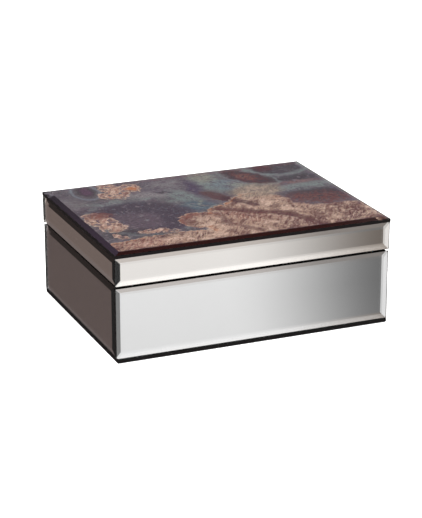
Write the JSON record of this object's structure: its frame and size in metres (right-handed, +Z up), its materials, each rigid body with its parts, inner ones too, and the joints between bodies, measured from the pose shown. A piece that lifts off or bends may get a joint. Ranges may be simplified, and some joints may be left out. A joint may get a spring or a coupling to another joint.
{
  "type": "vanity trinket box",
  "caption": "Rectangular trinket box of bevelled mirror glass with a hinged lid topped by agate-patterned glass and a velvet-lined inside.",
  "frame": {"origin": "middle of the felt underside that the box rests on", "axes": "+X along the width to the right, +Y to the back where the hinges are, +Z up"},
  "size_m": [0.251, 0.1916, 0.0958],
  "materials": {
    "mirror_glass": "silvered bevelled glass",
    "clear_glass": "clear polished glass with a ground bevel",
    "agate_print": "printed sheet with a sliced-agate pattern",
    "board": "black painted fibreboard",
    "velvet": "black velvet",
    "felt": "black pressed felt",
    "brass": "satin",
    "brass_screw": "polished",
    "bumper": "translucent soft rubber"
  },
  "bodies": {
    "base": {"underside_felt": "felt", "bottom_board": "board", "base_front_board": "board", "base_back_board": "board", "base_left_board": "board", "base_right_board": "board", "base_front_mirror": "mirror_glass", "base_back_mirror": "mirror_glass", "base_left_mirror": "mirror_glass", "base_right_mirror": "mirror_glass", "base_corner_beads": "board", "floor_pad": "velvet", "base_front_lining": "velvet", "base_back_lining": "velvet", "base_left_lining": "velvet", "base_right_lining": "velvet", "closing_bumpers": "bumper", "base_hinge_left": "brass", "base_hinge_right": "brass", "hinge_pin_left": "brass_screw", "hinge_pin_right": "brass_screw", "base_hinge_screws": "brass_screw"},
    "lid": {"lid_top_glass": "clear_glass", "agate_sheet": "agate_print", "lid_top_board": "board", "lid_front_board": "board", "lid_back_board": "board", "lid_left_board": "board", "lid_right_board": "board", "lid_front_mirror": "mirror_glass", "lid_back_mirror": "mirror_glass", "lid_left_mirror": "mirror_glass", "lid_right_mirror": "mirror_glass", "lid_pad": "velvet", "lid_front_lining": "velvet", "lid_back_lining": "velvet", "lid_left_lining": "velvet", "lid_right_lining": "velvet", "lid_hinge_left": "brass", "lid_hinge_right": "brass", "lid_hinge_screws": "brass_screw"}
  },
  "joints": [
    {"name": "lid_hinge", "type": "hinge", "parent": "base", "child": "lid", "pos_m": [0, 0.0949, 0.0661], "axis": [-1, 0, 0], "range_deg": [0, 95]}
  ]
}
